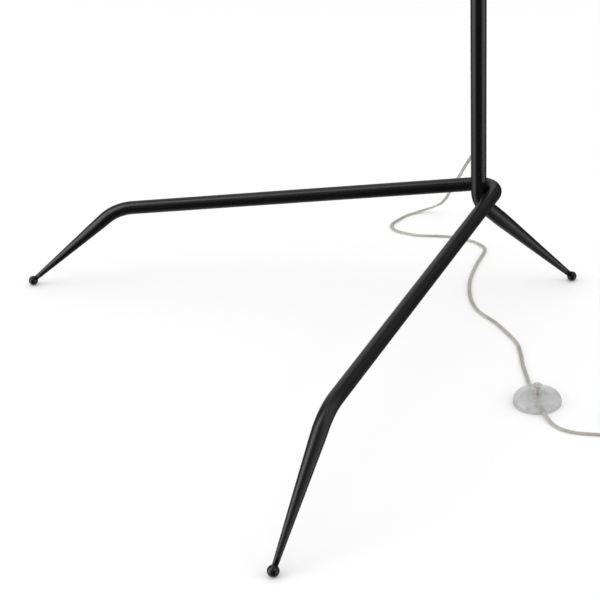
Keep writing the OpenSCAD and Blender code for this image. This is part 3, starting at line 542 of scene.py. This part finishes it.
def tube_mesh(line, radius_at, sides=56):
    """Rings round a line, each with the radius that radius_at gives for its distance along the line."""
    along = lengths_along(line)
    points, faces = [], []
    heading = (line[1] - line[0]).normalized()
    side = heading.orthogonal().normalized()
    for i, centre in enumerate(line):
        ahead = line[min(i + 1, len(line) - 1)] - line[max(i - 1, 0)]
        ahead.normalize()
        side = (side - ahead * side.dot(ahead)).normalized()
        up = ahead.cross(side)
        r = radius_at(along[i], along[-1])
        for k in range(sides):
            a = 2 * pi * k / sides
            points.append(centre + (side * cos(a) + up * sin(a)) * r)
    for i in range(len(line) - 1):
        for k in range(sides):
            a, b = i * sides + k, i * sides + (k + 1) % sides
            faces.append((a, b, b + sides, a + sides))
    faces.append(tuple(range(sides))[::-1])
    faces.append(tuple((len(line) - 1) * sides + k for k in range(sides)))
    return points, faces


def catmull(a, b, c, d, t):
    """The point a share t of the way from b to c on a smooth curve through a, b, c and d."""
    return 0.5 * (2 * b + (c - a) * t + (2 * a - 5 * b + 4 * c - d) * t ** 2
                  + (3 * b - a - 3 * c + d) * t ** 3)


def smooth_line(route, steps):
    """A smooth line through every point of a route."""
    p = [Vector(q) for q in route]
    line = []
    for i in range(len(p) - 1):
        a, b, c, d = p[max(i - 1, 0)], p[i], p[i + 1], p[min(i + 2, len(p) - 1)]
        line += [catmull(a, b, c, d, j / steps) for j in range(steps)]
    return line + [p[-1]]


# ---- the lead ----

def twin_section():
    """Outline of the twin lead, from its right edge round: two round sheaths with a waist between them."""
    lobe_r = LEAD_T / 2
    lobe_x = LEAD_W / 2 - lobe_r
    waist = lobe_r * 0.62
    lobe = [(lobe_x + lobe_r * cos(a), lobe_r * sin(a)) for a in (radians(d) for d in range(0, 136, 15))]
    upper = lobe + [(0.0, waist)] + [(-x, z) for x, z in reversed(lobe)]
    lower = [(-x, -z) for x, z in lobe[1:]] + [(0.0, -waist)] + [(x, -z) for x, z in reversed(lobe[1:])]
    return upper + lower


def core_section(at, sides=10):
    """Outline of one core, a bundle of strands."""
    core_r = LEAD_T * 0.27
    turns = [2 * pi * k / sides for k in range(sides)]
    return [(at + core_r * cos(a), core_r * sin(a)) for a in turns]


def sweep_level(line, section):
    """A section swept along a line, its first axis kept level."""
    points, faces, n = [], [], len(section)
    for i, centre in enumerate(line):
        ahead = (line[min(i + 1, len(line) - 1)] - line[max(i - 1, 0)]).normalized()
        side = Vector((0, 0, 1)).cross(ahead).normalized()
        up = ahead.cross(side)
        points += [centre + side * x + up * z for x, z in section]
    for i in range(len(line) - 1):
        for k in range(n):
            a, b = i * n + k, i * n + (k + 1) % n
            faces.append((a, b, b + n, a + n))
    return points, faces


def lead_mesh(name, line, mats, body, replaced):
    """Sheath and both cores in one mesh. The cores' strands follow its UV map of distance and turn."""
    lobe_x = LEAD_W / 2 - LEAD_T / 2
    points, faces, slots, marks = [], [], [], []
    along = lengths_along(line)
    for section, slot_index in ((twin_section(), 0), (core_section(lobe_x), 1), (core_section(-lobe_x), 1)):
        some, quads = sweep_level(line, section)
        base, n = len(points), len(section)
        points += some
        for number, quad in enumerate(quads):
            i, k = divmod(number, n)
            faces.append(tuple(base + v for v in quad))
            slots.append(slot_index)
            u0, u1 = along[i] / STRAND_LAY, along[i + 1] / STRAND_LAY
            v0, v1 = 4 * k / n, 4 * (k + 1) / n
            marks += [(u0, v0), (u0, v1), (u1, v1), (u1, v0)]
        faces.append(tuple(base + k for k in range(n))[::-1])
        faces.append(tuple(base + (len(line) - 1) * n + k for k in range(n)))
        slots += [slot_index] * 2
        marks += [(0.0, 0.0)] * (2 * n)
    piece = new_piece(name, points, faces, mats, body, replaced)
    layer = piece.data.uv_layers.new(name="along")
    for loop, mark in zip(layer.data, marks):
        loop.uv = mark
    for polygon, slot_index in zip(piece.data.polygons, slots):
        polygon.material_index = slot_index
    return piece


def coil_line():
    """The turns of the spare lead, wound layer on layer, each turn easing into the next one's place."""
    places = [(1, 0), (-1, 0), (-1, 1), (1, 1), (1, 2), (1, 2)]  # each turn's column and layer
    easing = 0.24  # the share of a turn, at its end, in which it moves over
    last_inward = 0.2  # how far the part turn at the end comes in
    full = len(places) - 1
    turns = full + (COIL_LAST - COIL_FIRST) / (2 * pi)
    steps = round(TURN_STEPS * turns)
    line = []
    for i in range(steps + 1):
        done = turns * i / steps
        k = min(int(done), full - 1)
        ease = min(max((done - k - (1 - easing)) / easing, 0), 1)
        ease = ease * ease * (3 - 2 * ease)
        (c0, l0), (c1, l1) = places[k], places[k + 1]
        column = c0 + (c1 - c0) * ease
        if done > full:
            column = 1 - (done - full) / (turns - full) * last_inward
        r = COIL_MID_R + COIL_COLUMN * column
        z = LEAD_T / 2 + COIL_LAYER * (l0 + (l1 - l0) * ease)
        a = COIL_FIRST + 2 * pi * done
        line.append(COIL_CENTRE + Vector((r * cos(a), r * sin(a), z)))
    return line


def resting(line):
    """The line with no point so low that the lead would sink into the floor."""
    return [Vector((p.x, p.y, max(p.z, LEAD_T / 2))) for p in line]


def in_metres(route):
    return [Vector(p) * MM for p in route]


def make_leads(dome, spring, plug):
    """The lead from the pole to the foot switch, and on from there through the coil to the plug."""
    mats = [lead_skin(), lead_core()]
    upper = resting(smooth_line(in_metres(UPPER_ROUTE), LEAD_STEPS))
    piece = lead_mesh("lead_upper", upper, mats, "base", ("cord_upper",))
    coil = coil_line()
    coil_start = coil[1:10:3]
    into = smooth_line(in_metres(LOWER_ROUTE) + coil_start, LEAD_STEPS)
    into = into[:-LEAD_STEPS * len(coil_start)]
    tail = smooth_line([coil[-1]] + in_metres(TAIL_ROUTE), LEAD_STEPS)
    lower = resting(into + coil[1:-1] + tail)
    piece = lead_mesh("lead_lower", lower, mats, "base",
                      ("cord_lower", "cord_coil", "cord_tail"))


# ---- the bent tubes ----

def tapered_end(full, tip, taper):
    """Radius along a tube whose last stretch narrows to its tip."""
    def radius(at, total):
        narrowed = max(at - (total - taper), 0) / taper
        return full + (tip - full) * narrowed

    return radius


def make_pole_foot(mat):
    """The pole's lowest section, bent into the short leg."""
    knee = Vector((0, POLE_Y, REAR_KNEE_Z))
    ball = Vector((0, POLE_Y + REAR_REACH, BALL_R))
    foot = ball + (knee - ball).normalized() * TIP_STOP
    line = filleted([Vector((0, POLE_Y, JOINT_LOW_Z)), knee, foot], [REAR_BEND_R], rungs=12)
    slope = (foot - knee).length
    turn = atan(REAR_REACH / (REAR_KNEE_Z - BALL_R))
    taper = slope - REAR_BEND_R * tan(turn / 2) - REAR_SHANK
    points, faces = tube_mesh(line, tapered_end(POLE_R, REAR_TIP_R, taper))
    return new_piece("pole_with_short_leg", points, faces, [mat], "base", ("pole_lower",))


def make_leg_pair(mat):
    """The tube that loops round the pole and makes both long legs."""
    vertex = Vector((0, VERTEX_Y, HUB_Z))
    ends = []
    for side in (-1, 1):
        out = Vector((side * sin(LEG_SPREAD), -cos(LEG_SPREAD), 0))
        knee = vertex + out * LEG_REACH - Vector((0, 0, LEG_DROP))
        ball = vertex + out * (LEG_REACH + FOOT_REACH)
        ball.z = BALL_R
        ends.append((ball + (knee - ball).normalized() * TIP_STOP, knee))
    (foot_a, knee_a), (foot_b, knee_b) = ends
    line = filleted([foot_a, knee_a, vertex, knee_b, foot_b], [KNEE_R, LOOP_R, KNEE_R], rungs=14)
    shin = (foot_a - knee_a).length
    bend = pi - (foot_a - knee_a).angle(vertex - knee_a)
    taper = shin - KNEE_R * tan(bend / 2) - LEG_SHANK

    def radius(at, total):
        near = min(at, total - at)
        return LEG_R if near > taper else TIP_R + (LEG_R - TIP_R) * near / taper

    points, faces = tube_mesh(line, radius)
    return new_piece("long_legs", points, faces, [mat], "base", ("leg_pair",))


def make_arm(mat):
    """The arm's tube: up out of the pole, along, and down to the shade."""
    low_reach = ARM_BEND_R * tan((pi / 2 - ARM_RISE) / 2)
    high_reach = ARM_TIP_R * tan((pi / 2 + ARM_RISE) / 2)
    span = low_reach + ARM_RUN + high_reach
    first = Vector((0, POLE_Y, ARM_STEM_TOP_Z + low_reach))
    second = first + Vector((0, -cos(ARM_RISE), sin(ARM_RISE))) * span
    end = Vector((0, second.y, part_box("arm_ferrule")[0].z + FERRULE_DEPTH))
    line = filleted([Vector((0, POLE_Y, ARM_FOOT_Z)), first, second, end], [ARM_BEND_R, ARM_TIP_R])
    points, faces = tube_mesh(line, lambda at, total: ARM_R, 40)
    return new_piece("arm_bar", points, faces, [mat], "arm", ("arm_tube",))


def turned(name, centre, profile, mat, body, replaced, sides=96, smooth_bend=35):
    """A closed ring turned from a profile of (radius, height) points in millimetres."""
    points, faces, n = [], [], len(profile)
    for k in range(sides):
        a = 2 * pi * k / sides
        points += [centre + Vector((r * cos(a), r * sin(a), z)) * MM for r, z in profile]
    for k in range(sides):
        for j in range(n):
            a, b = k * n + j, ((k + 1) % sides) * n + j
            faces.append((a, b, ((k + 1) % sides) * n + (j + 1) % n, k * n + (j + 1) % n))
    piece = new_piece(name, points, faces, [mat], body, replaced)
    piece.data.set_sharp_from_angle(angle=radians(smooth_bend))
    return piece


def rounded(profile, steps=5):
    """A profile with every stretch between its points curved through them."""
    line = smooth_line([(r, 0, z) for r, z in profile], steps)
    return [(p.x, p.z) for p in line]


def make_switch_cover(mat):
    """The foot switch's clear dome, with a bead round its rim and a collar round the button."""
    outside = rounded([(31.95, 3.1), (31.95, 4.4), (31.5, 5.1), (30.9, 5.6), (30.7, 8.0), (29.2, 10.9),
                       (26.3, 12.9), (21.5, 14.3), (15.5, 15.1), (10.6, 15.2)])
    collar = rounded([(9.3, 14.5), (8.9, 15.1), (8.3, 15.5), (7.6, 15.2), (7.3, 14.5), (7.2, 12.0)], 3)
    inside = rounded([(9.0, 12.0), (14.5, 13.2), (20.8, 12.6), (25.3, 11.3), (28.0, 9.6), (29.5, 7.3),
                      (30.1, 5.0), (30.1, 3.1)])
    centre = (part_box("switch_cover")[0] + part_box("switch_cover")[1]) / 2
    centre.z = 0
    return turned("switch_dome", centre, outside + collar + inside, mat, "base",
                  ("switch_cover",))


def make_spring(mat):
    """The spring under the switch's button (the real one shortens by the button's travel), copied from its
    CAD node and fixed to the base body.
    """
    mesh = frame["nodes"]["switch_spring"].data.copy()
    mesh.materials.clear()
    mesh.materials.append(mat)
    piece = bpy.data.objects.new("button_spring", mesh)
    bpy.context.scene.collection.objects.link(piece)
    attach(piece, "base")
    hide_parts("switch_spring")
    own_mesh(piece)
    return piece


def stadium(half_w, half_h, steps=12):
    """Outline of a flat bar with fully rounded edges, as (across, up) points."""
    flat = max(half_w - half_h, 0)
    turns = [pi * (k / steps - 0.5) for k in range(steps + 1)]
    right = [(flat + half_h * cos(a), half_h * sin(a)) for a in turns]
    return right + [(-x, -z) for x, z in right]


def make_plug(mat):
    """The flat two-pin plug's moulding with its ribbed strain relief, lofted along +Y."""
    low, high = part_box("plug_body")
    start = Vector(((low.x + high.x) / 2, low.y, (low.z + high.z) / 2))
    full_w, full_h = (high.x - low.x) / 2 / MM, (high.z - low.z) / 2 / MM
    front = (high.y - low.y) / MM
    # stations along the plug: distance from its back, half width and half height, in millimetres
    stations = [(0.0, 4.9, 4.9), (0.3, 5.2, 5.2)]
    for k in range(4):
        at = 1.6 + 3.6 * k
        grow = 0.2 * k
        stations += [(at, 5.2 + grow, 5.2 + grow), (at + 0.5, 4.7 + grow, 4.7 + grow),
                     (at + 1.5, 4.7 + grow, 4.7 + grow), (at + 2.0, 5.3 + grow, 5.3 + grow)]
    body = 19.0
    stations += [(body - 0.6, 5.9, 5.7), (body + 0.8, 9.5, 5.9), (body + 2.6, 13.2, 6.1),
                 (body + 5.4, 15.6, 6.3), (body + 10, full_w - 1.0, full_h - 0.4),
                 (body + 18, full_w - 0.2, full_h - 0.1), (body + 28, full_w, full_h),
                 (front - 0.9, full_w, full_h), (front - 0.2, full_w - 0.4, full_h - 0.4),
                 (front, full_w - 1.1, full_h - 1.1)]
    points, faces = [], []
    for y, w, h in stations:
        outline = stadium(min(w, full_w), min(h, full_h))
        points += [start + Vector((x, y, z)) * MM for x, z in outline]
    n = len(outline)
    for i in range(len(stations) - 1):
        for k in range(n):
            a, b = i * n + k, i * n + (k + 1) % n
            faces.append((a, a + n, b + n, b))
    faces.append(tuple(range(n)))
    faces.append(tuple((len(stations) - 1) * n + k for k in range(n))[::-1])
    piece = new_piece("plug_moulding", points, faces, [mat], "base", ("plug_body",))
    piece.data.set_sharp_from_angle(angle=radians(40))
    return piece


def paint_frame(mats):
    """Every CAD node that still shows takes the material of its slot."""
    slots = {part["node"]: part["material_slot"] for part in frame["record"]["subparts"]}
    for node, piece in frame["nodes"].items():
        mat = mats.get(slots[node]) or mats["grommet_clear"]
        piece.data.materials.clear()
        piece.data.materials.append(mat)


make_camera()
mats = make_materials()
make_leads(
    dome=make_switch_cover(mats["switch_clear"]),
    spring=make_spring(mats["steel"]),
    plug=make_plug(mats["plug_clear"]))
paint_frame(mats)
make_pole_foot(mats["black_metal"])
make_leg_pair(mats["black_metal"])
make_arm(mats["black_metal"])
make_world()
make_floor()
softbox("light_left", (-0.9, -3.2, 2.2), width=2.4, height=2.4, power=30)
softbox("light_right", (2.2, 2.4, 1.8), width=2.0, height=2.4, power=22)

bpy.context.scene.view_settings.view_transform = "Standard"
